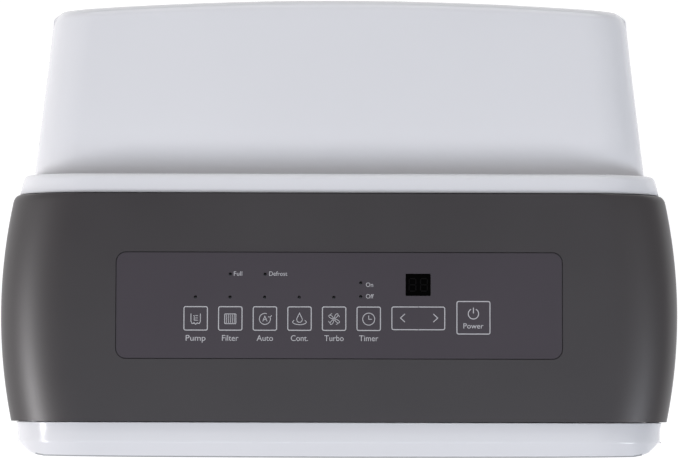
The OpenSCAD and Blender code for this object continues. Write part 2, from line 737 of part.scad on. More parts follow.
module head_cover() color("dimgray") {
    half = head_w / 2;
    difference() {
        intersection() {
            upright(front_plan(half, front_y - 30, join_y + 20, 8), head_seam_z + gap, total_h);
            across(arch(half, total_h, shoulder_w, shoulder_h, head_seam_z), head_front_y, head_rear_y);
        }
        intersection() {
            upright(front_plan(half - wall, front_y - 30, join_y + 20, 8), head_seam_z - 1, total_h);
            across(arch(half - wall, total_h - 4.5, shoulder_w, shoulder_h, head_seam_z - 1),
                head_front_y + wall, head_rear_y - wall);
        }
        translate([0, overlay_y, overlay_z - overlay_t])
            rounded_plate(overlay_w + 0.8, overlay_d + 0.8, 5.9, 5);
        // room for the tray of the top frame between the end walls
        upright(front_plan(body_w / 2 - 5, front_y - 30, join_y + 20, 8),
            head_seam_z - 1, head_seam_z + 12 + gap);
        key_holes(0.8, total_h - 12, total_h + 1);
        for (l = LEDS) rod_z(l[0], overlay_y + l[1], 1.2, total_h - 12, total_h);
        translate([display[0] - display[2] / 2 - 0.4, overlay_y + display[1] - display[3] / 2 - 0.4, 600])
            cube([display[2] + 0.8, display[3] + 0.8, 20]);
    }
}

module control_overlay() color("dimgray") difference() {
    translate([0, overlay_y, overlay_z - overlay_t + 0.1])
        rounded_plate(overlay_w, overlay_d, 5.5, overlay_t - 0.1);
    key_holes(0.4, overlay_z - 3, overlay_z + 1);
    for (l = LEDS) rod_z(l[0], overlay_y + l[1], led_r + 0.1, overlay_z - 3, overlay_z + 1);
    translate([display[0] - display[2] / 2 - 0.1, overlay_y + display[1] - display[3] / 2 - 0.1, 600])
        cube([display[2] + 0.2, display[3] + 0.2, 20]);
}

module display_window() color("black")
    translate([display[0] - display[2] / 2, overlay_y + display[1] - display[3] / 2, board_z + 1.7])
        cube([display[2], display[3], overlay_z - board_z - 1.8]);

module indicator_lenses() color("black") for (l = LEDS)
    rod_z(l[0], overlay_y + l[1], led_r, board_z + 1.7, overlay_z - 0.1);

module key_cap(k) color("dimgray") translate([k[1], overlay_y + k[2], 0]) {
    translate([0, 0, overlay_z - overlay_t]) rounded_plate(k[3], k[4], 1.2, overlay_t);
    rod_z(0, 0, 2.5, board_z + 5.4 + key_travel, overlay_z - overlay_t + 0.1);
}

// ---------- casters ----------

module caster_fork(c) color("dimgray") translate([c[1], c[2], 0]) {
    rod_z(0, 0, 4, floor_z - 1, floor_z + 14);
    rod_z(0, 0, 13, floor_z - 4, floor_z - 0.6);
    for (s = [-1, 1]) difference() {
        hull() {
            block(s * 10.2 - 1.2, s * 10.2 + 1.2, -9, 12, floor_z - 5, floor_z - 3.8);
            rod_x(caster_trail, wheel_r, 5, s * 10.2 - 1.2, s * 10.2 + 1.2);
        }
        rod_x(caster_trail, wheel_r, 2.5, s * 10.2 - 3, s * 10.2 + 3);
    }
    rod_x(caster_trail, wheel_r, 2.5, -12.4, 12.4);
}

module caster_wheel(c) color("black") translate([c[1], c[2], 0]) difference() {
    union() {
        rod_x(caster_trail, wheel_r, wheel_r, -6.5, 6.5);
        rod_x(caster_trail, wheel_r, 6, -8.4, 8.4);
    }
    rod_x(caster_trail, wheel_r, 2.58, -9, 9);
    for (s = [-1, 1]) difference() {
        rod_x(caster_trail, wheel_r, 13, s * 7 - 2, s * 7 + 2);
        rod_x(caster_trail, wheel_r, 6, s * 7 - 3, s * 7 + 3);
    }
}

base_pan();
front_shell();
rear_housing();
top_frame();
top_deck();
front_panel();
head_cover();
control_overlay();
display_window();
indicator_lenses();
control_board();
handle_cup(-1);  // handle_cup_left
handle_cup(1);  // handle_cup_right
air_outlet_grille();
intake_grille();
filter_frame();
filter_mesh();
bulkhead();
drip_tray();
evaporator_coil();
condenser_coil();
refrigerant_pipes();
compressor();
compressor_mounts();
blower_housing();
blower_wheel();
motor_shaft();
fan_motor();
condensate_pump();
water_tubes();
control_box();
run_capacitor();
bucket_tub();
bucket_front();
level_window();
bucket_bail();
bucket_float();
float_sensor();
drain_outlet();
drain_plug();
pump_hose_socket();
cord_gland();
housing_screws();
for (k = KEYS) key_cap(k);
for (c = CASTERS) caster_fork(c);
for (c = CASTERS) caster_wheel(c);
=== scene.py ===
import json
import math

import bmesh
import bpy
from mathutils import Matrix, Vector


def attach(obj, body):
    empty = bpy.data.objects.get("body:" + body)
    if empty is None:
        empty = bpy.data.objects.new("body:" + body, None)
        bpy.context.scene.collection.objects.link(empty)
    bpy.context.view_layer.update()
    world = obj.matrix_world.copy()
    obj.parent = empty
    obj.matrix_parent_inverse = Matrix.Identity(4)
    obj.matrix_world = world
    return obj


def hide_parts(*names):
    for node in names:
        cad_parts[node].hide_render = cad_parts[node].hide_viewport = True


MM = 0.001

# ---------------------------------------------------------------- camera
scene = bpy.context.scene
cam_data = bpy.data.cameras.new("camera")
cam_data.sensor_fit = "HORIZONTAL"
cam_data.sensor_width = 36.0
cam_data.lens = 151.1
cam_data.clip_start = 0.05
cam_data.clip_end = 50.0
camera = bpy.data.objects.new("camera", cam_data)
scene.collection.objects.link(camera)
scene.camera = camera
TARGET = Vector((0.0001, -0.0040, 0.616))
DISTANCE = 1.600
ELEVATION = math.radians(86.7)
ROLL = math.radians(0.14)
camera.location = TARGET + DISTANCE * Vector((0, -math.cos(ELEVATION), math.sin(ELEVATION)))
look = (TARGET - camera.location).to_track_quat("-Z", "Y").to_matrix().to_4x4()
camera.rotation_euler = (look @ Matrix.Rotation(ROLL, 4, "Z")).to_euler()

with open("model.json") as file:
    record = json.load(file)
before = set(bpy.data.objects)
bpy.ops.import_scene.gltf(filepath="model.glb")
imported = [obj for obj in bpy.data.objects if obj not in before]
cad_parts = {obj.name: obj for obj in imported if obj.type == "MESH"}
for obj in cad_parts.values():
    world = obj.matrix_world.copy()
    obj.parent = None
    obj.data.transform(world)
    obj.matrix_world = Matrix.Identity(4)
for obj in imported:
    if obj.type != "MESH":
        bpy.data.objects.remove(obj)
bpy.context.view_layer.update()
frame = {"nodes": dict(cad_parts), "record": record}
NODES = frame["nodes"]


# ---------------------------------------------------------------- materials
def new_material(name):
    mat = bpy.data.materials.new(name)
    mat.use_nodes = True
    nt = mat.node_tree
    nt.nodes.clear()
    out = nt.nodes.new("ShaderNodeOutputMaterial")
    bsdf = nt.nodes.new("ShaderNodeBsdfPrincipled")
    nt.links.new(bsdf.outputs[0], out.inputs[0])
    return mat, nt, bsdf


DRIFT_SCALE = 9.0       # slow drifts of tone: about a decimetre across
GRAIN_SCALE = 700.0     # grain of 1 mm


def noise(nt, coords, scale, detail, rough=0.5):
    n = nt.nodes.new("ShaderNodeTexNoise")
    n.inputs["Scale"].default_value = scale
    n.inputs["Detail"].default_value = detail
    n.inputs["Roughness"].default_value = rough
    nt.links.new(coords, n.inputs["Vector"])
    return n.outputs["Fac"]


def remap(nt, value, low, high):
    """Spreads the middle of a noise's range over low to high."""
    m = nt.nodes.new("ShaderNodeMapRange")
    m.inputs["From Min"].default_value = 0.3
    m.inputs["From Max"].default_value = 0.7
    m.inputs["To Min"].default_value = low
    m.inputs["To Max"].default_value = high
    nt.links.new(value, m.inputs["Value"])
    return m.outputs["Result"]


def plastic(name, color, rough, spread, tint, grain, depth, ior=1.46, coat=0.0, metallic=0.0):
    """Moulded plastic or metal: a fine eroded grain (grain and depth in mm), slow drifts of tone from
    moulding and handling, and a roughness that wanders with them."""
    mat, nt, bsdf = new_material(name)
    place = nt.nodes.new("ShaderNodeTexCoord").outputs["Object"]
    drift = noise(nt, place, DRIFT_SCALE, 4.0)
    fine = noise(nt, place, GRAIN_SCALE / grain, 3.0, 0.6)
    mix = nt.nodes.new("ShaderNodeMix")
    mix.data_type = "RGBA"
    mix.inputs["A"].default_value = [c * (1 - tint) for c in color] + [1]
    mix.inputs["B"].default_value = [c * (1 + tint) for c in color] + [1]
    nt.links.new(remap(nt, drift, 0.0, 1.0), mix.inputs["Factor"])
    nt.links.new(mix.outputs["Result"], bsdf.inputs["Base Color"])
    both = nt.nodes.new("ShaderNodeMath")
    both.operation = "ADD"
    nt.links.new(remap(nt, drift, rough - spread * 0.6, rough + spread * 0.6), both.inputs[0])
    nt.links.new(remap(nt, fine, -spread * 0.4, spread * 0.4), both.inputs[1])
    nt.links.new(both.outputs[0], bsdf.inputs["Roughness"])
    bump = nt.nodes.new("ShaderNodeBump")
    bump.inputs["Strength"].default_value = 1.0
    bump.inputs["Distance"].default_value = depth * MM
    nt.links.new(fine, bump.inputs["Height"])
    nt.links.new(bump.outputs["Normal"], bsdf.inputs["Normal"])
    bsdf.inputs["IOR"].default_value = ior
    bsdf.inputs["Coat Weight"].default_value = coat
    bsdf.inputs["Coat Roughness"].default_value = 0.12
    bsdf.inputs["Metallic"].default_value = metallic
    mat.diffuse_color = (*color, 1)
    return mat


# one row a material: colour, roughness, its spread, spread of tone, grain and its depth (mm)
PLASTICS = {
    # seam_shadow: a grey for painted shade, the dark line along the ledge's front edge where the front face
    # falls into shadow
    "seam_shadow": ((0.40, 0.405, 0.42), 0.6, 0.03, 0.012, 0.4, 0.001, {"ior": 1.05}),
    "white_shell": ((0.822, 0.818, 0.842), 0.16, 0.05, 0.012, 0.6, 0.0012, {}),
    "head_plastic": ((0.0405, 0.0342, 0.0358), 0.40, 0.05, 0.05, 0.35, 0.0035, {"ior": 1.7}),
    "overlay_film": ((0.057, 0.0475, 0.057), 0.46, 0.04, 0.04, 0.25, 0.002, {}),
    "key_film": ((0.058, 0.0485, 0.058), 0.44, 0.04, 0.04, 0.25, 0.002, {}),
    "print_grey": ((0.50, 0.49, 0.51), 0.55, 0.05, 0.05, 0.3, 0.001, {}),
    "lens_black": ((0.001, 0.001, 0.001), 0.10, 0.03, 0.1, 1.0, 0.0004, {"ior": 1.2}),
    "lamp_lens": ((0.004, 0.004, 0.004), 0.18, 0.04, 0.1, 0.8, 0.0005, {}),
    "ghost_segment": ((0.0035, 0.0032, 0.0032), 0.3, 0.05, 0.1, 0.6, 0.0004, {"ior": 1.2}),
    "dark_plastic": ((0.035, 0.035, 0.038), 0.48, 0.08, 0.10, 0.6, 0.006, {}),
    "inner_plastic": ((0.55, 0.56, 0.57), 0.45, 0.08, 0.04, 0.8, 0.004, {}),
    "tub_plastic": ((0.60, 0.65, 0.70), 0.30, 0.08, 0.03, 0.9, 0.003, {}),
    "window_clear": ((0.20, 0.25, 0.30), 0.10, 0.03, 0.05, 1.2, 0.0006, {"coat": 0.5}),
    "float_plastic": ((0.07, 0.17, 0.45), 0.6, 0.10, 0.12, 1.4, 0.02, {}),
    "filter_net": ((0.10, 0.10, 0.11), 0.7, 0.1, 0.1, 0.4, 0.01, {}),
    "coil_aluminium": ((0.75, 0.76, 0.78), 0.35, 0.1, 0.05, 1.5, 0.004, {"metallic": 1.0}),
    "copper_pipe": ((0.75, 0.38, 0.22), 0.32, 0.1, 0.12, 1.5, 0.004, {"metallic": 1.0}),
    "compressor_steel": ((0.012, 0.012, 0.013), 0.25, 0.08, 0.2, 2.5, 0.012, {"coat": 0.6}),
    "rubber": ((0.022, 0.022, 0.023), 0.75, 0.1, 0.15, 0.7, 0.010, {}),
    "board": ((0.015, 0.11, 0.05), 0.35, 0.08, 0.15, 1.0, 0.003, {}),
    "steel": ((0.58, 0.58, 0.60), 0.32, 0.10, 0.05, 0.8, 0.003, {"metallic": 1.0}),
    "motor_steel": ((0.08, 0.08, 0.09), 0.4, 0.1, 0.12, 1.0, 0.005, {}),
    "can_aluminium": ((0.72, 0.72, 0.74), 0.28, 0.08, 0.04, 1.0, 0.002, {"metallic": 1.0}),
    "clear_tube": ((0.62, 0.63, 0.62), 0.3, 0.08, 0.05, 1.2, 0.003, {}),
    "plug_rubber": ((0.025, 0.025, 0.026), 0.7, 0.1, 0.15, 0.6, 0.010, {}),
    "wheel_nylon": ((0.020, 0.020, 0.022), 0.42, 0.1, 0.2, 0.8, 0.008, {}),
}
MATS = {name: plastic(name, *row[:-1], **row[-1]) for name, row in PLASTICS.items()}
SLOT_OF = {s["node"]: s["material_slot"] for s in frame["record"]["subparts"]}


def dress(obj, *names):
    obj.data.materials.clear()
    for name in names:
        obj.data.materials.append(MATS[name])


# ---------------------------------------------------------------- mesh helpers (millimetres in, metres out)
def make_object(name, verts, faces, smooth_deg=32, mats=("white_shell",), merge=0.004):
    me = bpy.data.meshes.new(name)
    me.from_pydata([(x * MM, y * MM, z * MM) for x, y, z in verts], [], faces)
    me.update()
    obj = bpy.data.objects.new(name, me)
    scene.collection.objects.link(obj)
    dress(obj, *mats)
    clean(obj, merge)
    soften(obj, smooth_deg)
    return obj


def clean(obj, merge=0.004):
    bm = bmesh.new()
    bm.from_mesh(obj.data)
    bmesh.ops.remove_doubles(bm, verts=bm.verts, dist=merge * MM)
    bmesh.ops.dissolve_degenerate(bm, edges=bm.edges, dist=merge * 0.5 * MM)
    bmesh.ops.recalc_face_normals(bm, faces=bm.faces)
    bm.to_mesh(obj.data)
    bm.free()


def soften(obj, deg=32):
    """Smooth shading, with edges sharper than deg kept crisp."""
    me = obj.data
    me.polygons.foreach_set("use_smooth", [True] * len(me.polygons))
    me.set_sharp_from_angle(angle=math.radians(deg))
    me.update()


def solid_grid(name, rows, mats, thickness):
    """A skin through a grid of points, given a wall thickness inwards."""
    n = len(rows[0])
    verts = [p for r in rows for p in r]
    faces = [(i * n + j, i * n + j + 1, (i + 1) * n + j + 1, (i + 1) * n + j)
             for i in range(len(rows) - 1) for j in range(n - 1)]
    obj = make_object(name, verts, faces, mats=mats)
    # the skin faces outwards, so on the whole its normals point up
    if sum(p.normal.z * p.area for p in obj.data.polygons) < 0:
        obj.data.flip_normals()
    mod = obj.modifiers.new("wall", "SOLIDIFY")
    mod.thickness = thickness * MM
    mod.offset = -1.0
    mod.use_even_offset = False
    return obj


def edge_soft(obj, width, segments, angle):
    """Rounds the edges that are sharper than the angle, by a modifier."""
    mod = obj.modifiers.new("edges", "BEVEL")
    mod.width = width * MM
    mod.segments = segments
    mod.limit_method = "ANGLE"
    mod.angle_limit = math.radians(angle)
    mod.harden_normals = False
    mod.miter_outer = "MITER_ARC"


def bake(obj):
    """Applies an object's modifiers, or turns a curve into a mesh."""
    dg = bpy.context.evaluated_depsgraph_get()
    dg.update()
    me = bpy.data.meshes.new_from_object(obj.evaluated_get(dg), depsgraph=dg)
    name = obj.name
    mats = list(obj.data.materials)
    bpy.data.objects.remove(obj)
    out = bpy.data.objects.new(name, me)
    scene.collection.objects.link(out)
    me.name = name
    if not me.materials:
        for m in mats:
            me.materials.append(m)
    return out


def rounded_rect(cx, cy, w, d, r, n):
    """Outline with n steps round each corner."""
    pts = []
    for sx, sy, a0 in ((1, -1, -90), (1, 1, 0), (-1, 1, 90), (-1, -1, 180)):
        x, y = cx + sx * (w / 2 - r), cy + sy * (d / 2 - r)
        for i in range(n + 1):
            a = math.radians(a0 + 90 * i / n)
            pts.append((x + r * math.cos(a), y + r * math.sin(a)))
    return pts


def circle(cx, cy, r, n):
    turns = [2 * math.pi * i / n for i in range(n)]
    return [(cx + r * math.cos(a), cy + r * math.sin(a)) for a in turns]


def plate(name, outlines, z0, z1, mats, bevel=0.0, segments=2):
    """A flat plate between z0 and z1 with the outlines as its edge and holes."""
    cu = bpy.data.curves.new(name, "CURVE")
    cu.dimensions = "2D"
    cu.fill_mode = "BOTH"
    for pts in outlines:
        sp = cu.splines.new("POLY")
        sp.points.add(len(pts) - 1)
        for p, (x, y) in zip(sp.points, pts):
            p.co = (x * MM, y * MM, 0, 1)
        sp.use_cyclic_u = True
    cu.extrude = ((z1 - z0) / 2 - bevel) * MM
    cu.bevel_depth = bevel * MM
    cu.bevel_resolution = segments
    cu.offset = -bevel * MM
    obj = bpy.data.objects.new(name, cu)
    scene.collection.objects.link(obj)
    obj.location.z = (z0 + z1) / 2 * MM
    for s in mats:
        cu.materials.append(MATS[s])
    obj = bake(obj)
    obj.data.transform(Matrix.Translation((0, 0, (z0 + z1) / 2 * MM)))
    clean(obj, 0.001)
    soften(obj, 30)
    for face in obj.data.polygons:
        if abs(face.normal.z) > 0.999:
            face.use_smooth = False
    return obj


def join(objs, name):
    """One object out of several, each keeping its materials."""
    bm = bmesh.new()
    me = bpy.data.meshes.new(name)
    mats = []
    for o in objs:
        new_index = {}
        for i, m in enumerate(o.data.materials):
            if m not in mats:
                mats.append(m)
            new_index[i] = mats.index(m)
        start = len(bm.faces)
        bm.from_mesh(o.data)
        bm.faces.ensure_lookup_table()
        for face in bm.faces[start:]:
            face.material_index = new_index.get(face.material_index, 0)
    bm.to_mesh(me)
    bm.free()
    for m in mats:
        me.materials.append(m)
    for o in objs:
        bpy.data.objects.remove(o)
    obj = bpy.data.objects.new(name, me)
    scene.collection.objects.link(obj)
    return obj


# ---------------------------------------------------------------- sizes (mm), on or close to the CAD's
WIDE_Y, SIDE_R = -49.7, 300.0              # where the sides are widest, and their radius in plan
REAR_R = 2045.0                            # radius of the rear edge in plan
HEAD_HALF, BODY_HALF = 192.5, 190.0        # half widths at WIDE_Y
HEAD_Y0, HEAD_Y1 = -111.2, 16.9            # front and rear edge of the head
LEDGE_Y, CREASE_Y = -111.7, -122.4         # ledge: rear edge, and the crease in front of it
STRIP_Y0, JOIN_Y, REAR_Y = 17.6, 28.3, 131.0     # rear strip: front and rear edge; rear of the cabinet
TOP_Z, STRIP_Z, SEAM_Z = 616.0, 613.0, 560.0     # tops of head and white frame; lower edge of both
SHOULDER_W, SHOULDER_H = 42.0, 26.0
OY, OZ = -46.1, 615.7                      # middle and top face of the touch overlay
OVERLAY_W, OVERLAY_D, OVERLAY_R = 250.0, 59.4, 5.5
POCKET_Z, FILM_Z, CAP_Z = 614.4, 614.55, 614.5   # floor of its pocket; undersides of overlay and keys

# on the overlay: places from its middle, then width and depth
KEY_Y, KEY_SIDE, KEY_PITCH = -7.4, 13.7, 19.4
KEY_NAMES = ("pump", "filter", "auto", "continuous", "turbo", "timer")
KEY_X = {name: round(-80.4 + KEY_PITCH * i, 1) for i, name in enumerate(KEY_NAMES)}
KEYS = {"key_" + k: (x, KEY_Y, KEY_SIDE, KEY_SIDE) for k, x in KEY_X.items()}
KEYS.update({"key_down": (36.8, -7.1, 15.0, 13.3), "key_up": (52.0, -7.1, 15.0, 13.3),
             "key_power": (75.3, -6.7, 19.1, 18.8)})
ARROWS = (44.4, -7.1, 30.2, 13.3)          # the two arrow keys as one
LEDS = [(x, 4.6) for x in (-80.6, -61.2, -41.8, -22.4, -3.0)]
LEDS += [(12.1, 12.7), (12.1, 5.0), (-61.1, 17.5), (-41.6, 17.5)]
DISPLAY = (44.3, 11.7, 14.0, 12.4)


def barrel(y, half):
    """Half width at y of a body whose sides bulge in plan."""
    return half - (y - WIDE_Y) ** 2 / (2 * SIDE_R)


def smooth_min(a, b, k):
    """The smaller of two values, rounded over where they meet."""
    return 0.5 * (a + b - math.sqrt((a - b) ** 2 + k * k))


def arch(half, top, drop_w, drop_h, bottom, n=22, flat=14, skirt=5):
    """(x, z) from the left skirt over the flat top to the right skirt."""
    left = [(-half, bottom + (top - drop_h - bottom) * i / skirt) for i in range(skirt)]
    for i in range(n + 1):
        a = math.pi / 2 * i / n
        left.append((-half + drop_w * (1 - math.cos(a)), top - drop_h + drop_h * math.sin(a)))
    inner = half - drop_w
    mid = [(-inner + 2 * inner * i / flat, top) for i in range(1, flat)]
    return left + mid + [(-x, z) for x, z in reversed(left)]


# ---------------------------------------------------------------- control head
def head_cover():
    """The saddle, rounded at its rear corners, with a pocket for the overlay and wells for the keys."""
    corner_d, corner_w, gap = 4, 2.4, 0.4
    start = HEAD_Y1 - corner_d
    stations = [HEAD_Y0 + (start - HEAD_Y0) * i / 42 for i in range(43)]
    stations += [start + corner_d * math.sin(math.radians(15 * i)) for i in range(1, 7)]
    rows = []
    for y in stations:
        late = max(0.0, (y - HEAD_Y1 + corner_d) / corner_d)
        half = barrel(y, HEAD_HALF) - corner_w * (1 - math.sqrt(max(0.0, 1 - late * late)))
        rows.append([(x, y, z) for x, z in arch(half, TOP_Z, SHOULDER_W, SHOULDER_H, SEAM_Z + 0.3)])
    obj = solid_grid("head_shell", rows, ("head_plastic",), 3.2)
    well_z, above = 600, 640
    pocket = rounded_rect(0, OY, OVERLAY_W + 2 * gap, OVERLAY_D + 2 * gap, OVERLAY_R + gap, 10)
    cutter = plate("pocket_tool", [pocket], POCKET_Z, above, ("head_plastic",))
    boxes = [box for name, box in KEYS.items() if name not in ("key_down", "key_up")] + [ARROWS]
    wells = join([plate("well", [rounded_rect(x, OY + y, w + 2 * gap, d + 2 * gap, 1.5, 6)],
                        well_z, above - 10, ("head_plastic",)) for x, y, w, d in boxes], "well_tool")
    for tool in (cutter, wells):
        mod = obj.modifiers.new("pocket", "BOOLEAN")
        mod.operation = "DIFFERENCE"
        mod.object = tool
        mod.solver = "EXACT"
    obj = bake(obj)
    for tool in (cutter, wells):
        bpy.data.objects.remove(tool)
    soften(obj, 32)
    edge_soft(obj, 0.45, 3, 45)
    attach(obj, "cabinet")
    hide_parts("head_cover")


head_cover()

# ---------------------------------------------------------------- white top of the cabinet
# half of the front face in plan, (x, y): a slight bow with cut-off corners
FRONT_PLAN = ((0.0, -131.5), (60.0, -131.4), (118.5, -131.2), (150.0, -130.9), (166.0, -130.7),
              (170.6, -130.0), (174.8, -128.4), (178.6, -125.3), (180.8, -123.3), (200.0, -123.0))
CORNER_Y = -116.0                          # in front of this the sides run straight


def front_edge(x):
    """y of the front face at x."""
    x = abs(x)
    for (x0, y0), (x1, y1) in zip(FRONT_PLAN, FRONT_PLAN[1:]):
        if x <= x1:
            return y0 + (y1 - y0) * (x - x0) / (x1 - x0)
    return FRONT_PLAN[-1][1]


def hang(zs, drop):
    """Height of a section point after the skin has dropped: everything ends level at the seam."""
    return zs - drop * (zs - SEAM_Z) / (STRIP_Z - SEAM_Z)


def front_top():
    """Ledge in front of the head: flat top, crease, sloping lip, small round, front face."""
    section = arch(BODY_HALF, STRIP_Z, SHOULDER_W, SHOULDER_H, SEAM_Z, 40, 30, 6)
    slope, r = math.radians(20), 2.2
    lip = CREASE_Y - FRONT_PLAN[0][1]
    run = lip - r * (1 - math.sin(slope))         # where the small round begins
    profile = [(0.35, 0.02), (0.7, 0.11), (1.0, 0.22)]  # the crease, (distance in front, drop)
    soft, dip = profile[-1]
    profile += [(soft + (run - soft) * i / 6, dip + (run - soft) * i / 6 * math.tan(slope))
                for i in range(1, 7)]
    at, fell = profile[-1]
    for i in range(1, 12):
        a = slope + (math.pi / 2 - slope) * i / 11
        profile.append((at + r * (math.sin(a) - math.sin(slope)), fell + r * (math.cos(slope) - math.cos(a))))
    fell = profile[-1][1]
    profile += [(lip, fell + (STRIP_Z - SEAM_Z - fell) * i / 8) for i in range(1, 9)]
    rows = []
    for t in (0.0, 0.04, 0.1, 0.3, 0.5, 0.7, 0.85, 0.95, 1.0):
        y = LEDGE_Y + (CREASE_Y - LEDGE_Y) * t
        rows.append([(xs * barrel(max(y, CORNER_Y), BODY_HALF) / BODY_HALF, y, zs) for xs, zs in section])
    for u, drop in profile:
        row = []
        for xs, zs in section:
            x = xs * barrel(CORNER_Y, BODY_HALF) / BODY_HALF
            row.append((x, CREASE_Y + (front_edge(x) - CREASE_Y) * u / lip, hang(zs, drop)))
        rows.append(row)
    obj = solid_grid("top_ledge", rows, ("white_shell", "seam_shadow"), 2.6)
    # painted shade: a darker line where the lip turns into the front face, between the corners
    line_y, line_half = -124 * MM, 171 * MM
    for face in obj.data.polygons:
        if face.center.y < line_y and abs(face.center.x) < line_half and 0.03 < face.normal.z < 0.75:
            face.material_index = 1
    return obj


def rear_strip():
    """Strip behind the head, rounded over at its rear edge and closed down to the deck."""
    section = arch(BODY_HALF, STRIP_Z, SHOULDER_W, SHOULDER_H, SEAM_Z, 24, 24, 6)
    reach, r = JOIN_Y - STRIP_Y0, 3.2
    cut_x, cut_slope, cut_round = 179.4, 1.2, 1.6  # the rear corners are cut off from cut_x outwards
    profile = [(reach, 0.0), (6.0, 0.0)]          # (distance from the rear edge, drop)
    turns = [math.radians(90 * i / 8) for i in range(9)]
    profile += [(r - r * math.sin(a), r - r * math.cos(a)) for a in turns]
    profile += [(0.0, r + (STRIP_Z - SEAM_Z - r) * i / 6) for i in range(1, 7)]
    rows = []
    for d, drop in profile:
        row = []
        for xs, zs in section:
            x = xs * barrel(25, BODY_HALF) / BODY_HALF
            edge = smooth_min(JOIN_Y, JOIN_Y + cut_slope * (cut_x - abs(x)), cut_round)
            y = STRIP_Y0 + (edge - STRIP_Y0) * (1 - d / reach)
            row.append((xs * barrel(y, BODY_HALF) / BODY_HALF, y, hang(zs, drop)))
        rows.append(row)
    obj = solid_grid("top_strip", rows, ("white_shell",), 2.6)
    edge_soft(obj, 0.5, 2, 50)
    return obj


for piece in (front_top(), rear_strip()):
    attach(piece, "cabinet")
    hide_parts("top_frame")


# ---------------------------------------------------------------- rear deck
DECK_Y0, DECK_HALF, DECK_REAR_HALF = 28.9, 175.6, 164.4


def rear_half(y):
    """Half width of the deck, which narrows towards the back."""
    return DECK_HALF + (DECK_REAR_HALF - DECK_HALF) * (y - JOIN_Y) / (REAR_Y - JOIN_Y)


def rear_deck():
    """The lower deck: it falls a little towards the rear, with a round edge and round corners there."""
    deck_z, fall, bottom, r_edge, r_corner, skirt = 590.0, 6.0, 571.0, 6.0, 9.0, 8.0
    shoulder_w, shoulder_h = 26, 15
    corner_x = rear_half(118) - r_corner
    section = arch(DECK_HALF, deck_z, shoulder_w, shoulder_h, bottom, 20, 24, 3)
    profile = [(DECK_Y0 + (REAR_Y - r_edge - DECK_Y0) * i / 14, 0.0) for i in range(15)]
    for i in range(1, 11):
        a = math.radians(9 * i)
        profile.append((REAR_Y - r_edge + r_edge * math.sin(a), r_edge * (1 - math.cos(a))))
    profile += [(REAR_Y, r_edge + skirt * i / 3) for i in range(1, 4)]
    rows = []
    for y0, drop in profile:
        row = []
        for xs, zs in section:
            x = xs * rear_half(y0) / DECK_HALF
            bow = x * x / (2 * REAR_R)
            t = (y0 - DECK_Y0) / (REAR_Y - DECK_Y0)
            corner = min(max(0.0, abs(x) - corner_x), r_corner)
            cut = r_corner - math.sqrt(r_corner ** 2 - corner ** 2)
            y = DECK_Y0 + (REAR_Y - bow - cut - DECK_Y0) * t
            row.append((xs * rear_half(y) / DECK_HALF, y, max(bottom, zs - fall * t - drop)))
        rows.append(row)
    obj = solid_grid("deck_lid", rows, ("white_shell",), 2.4)
    edge_soft(obj, 0.4, 2, 50)
    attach(obj, "cabinet")
    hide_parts("top_deck")


rear_deck()

# ---------------------------------------------------------------- control overlay
PRINT_Z = OZ + 0.03                        # top of the print
LINE = 0.56                                # width of the keys' outlines
LENS_BOTTOM_Z = 602.0
DISPLAY_X, DISPLAY_Y, DISPLAY_W, DISPLAY_D = DISPLAY

holes = [rounded_rect(x, OY + y, w + 0.24, d + 0.24, 1.3, 6) for x, y, w, d in KEYS.values()]
holes += [circle(x, OY + y, 0.9, 24) for x, y in LEDS]
holes.append(rounded_rect(DISPLAY_X, OY + DISPLAY_Y, DISPLAY_W + 0.1, DISPLAY_D + 0.1, 0.25, 3))
overlay = plate("touch_overlay", [rounded_rect(0, OY, OVERLAY_W, OVERLAY_D, OVERLAY_R, 12)] + holes,
                FILM_Z, OZ, ("overlay_film",), 0.10, 2)
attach(overlay, "cabinet")
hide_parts("control_overlay")

glass = plate("display_glass", [rounded_rect(DISPLAY_X, OY + DISPLAY_Y, DISPLAY_W, DISPLAY_D, 0.2, 3)],
              LENS_BOTTOM_Z, OZ - 0.02, ("lens_black",), 0.05, 1)
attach(glass, "cabinet")
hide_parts("display_window")


def lamp(cx, cy, r=0.85, z0=LENS_BOTTOM_Z, z1=OZ - 0.05, n=20):
    """A round lens with a slightly domed top."""
    rows = [(r, z0), (r, z1 - 0.18), (r * 0.92, z1 - 0.07), (r * 0.6, z1 - 0.01), (0.0, z1)]
    verts = [(x, y, z) for radius, z in rows for x, y in circle(cx, cy, radius, n)]
    faces = [(k * n + i, k * n + (i + 1) % n, (k + 1) * n + (i + 1) % n, (k + 1) * n + i)
             for k in range(len(rows) - 1) for i in range(n)]
    faces.append(tuple(reversed(range(n))))
    return make_object("lamp", verts, faces, 40, ("lamp_lens",))


lenses = join([lamp(x, OY + y) for x, y in LEDS], "indicator_lamps")
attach(lenses, "cabinet")
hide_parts("indicator_lenses")


# the print: thin raised lines and letters
def ribbon(points, width, closed=False, z0=OZ - 0.02, z1=PRINT_Z, mats=("print_grey",)):
    """A printed line of that width through the points, mitred at its bends."""
    n = len(points)
    verts, faces = [], []
    for i in range(n):
        here = Vector(points[i])
        before = (here - Vector(points[i - 1])).normalized() if closed or i > 0 else None
        after = (Vector(points[(i + 1) % n]) - here).normalized() if closed or i < n - 1 else None
        before = before if before is not None else after
        after = after if after is not None else before
        side = Vector((-before.y, before.x))
        mitre = side + Vector((-after.y, after.x))
        mitre = side if mitre.length < 1e-6 else mitre.normalized()
        half = width / 2 / max(0.35, mitre.dot(side))
        left, right = here + mitre * half, here - mitre * half
        verts += [(left.x, left.y, z1), (right.x, right.y, z1), (right.x, right.y, z0), (left.x, left.y, z0)]
    for i in range(n if closed else n - 1):
        a, b = 4 * i, 4 * ((i + 1) % n)
        for k in range(4):
            faces.append((a + k, a + (k + 1) % 4, b + (k + 1) % 4, b + k))
    if not closed:
        end = 4 * (n - 1)
        faces.append((3, 2, 1, 0))
        faces.append((end, end + 1, end + 2, end + 3))
    return make_object("ribbon", verts, faces, 30, mats, 0.0005)


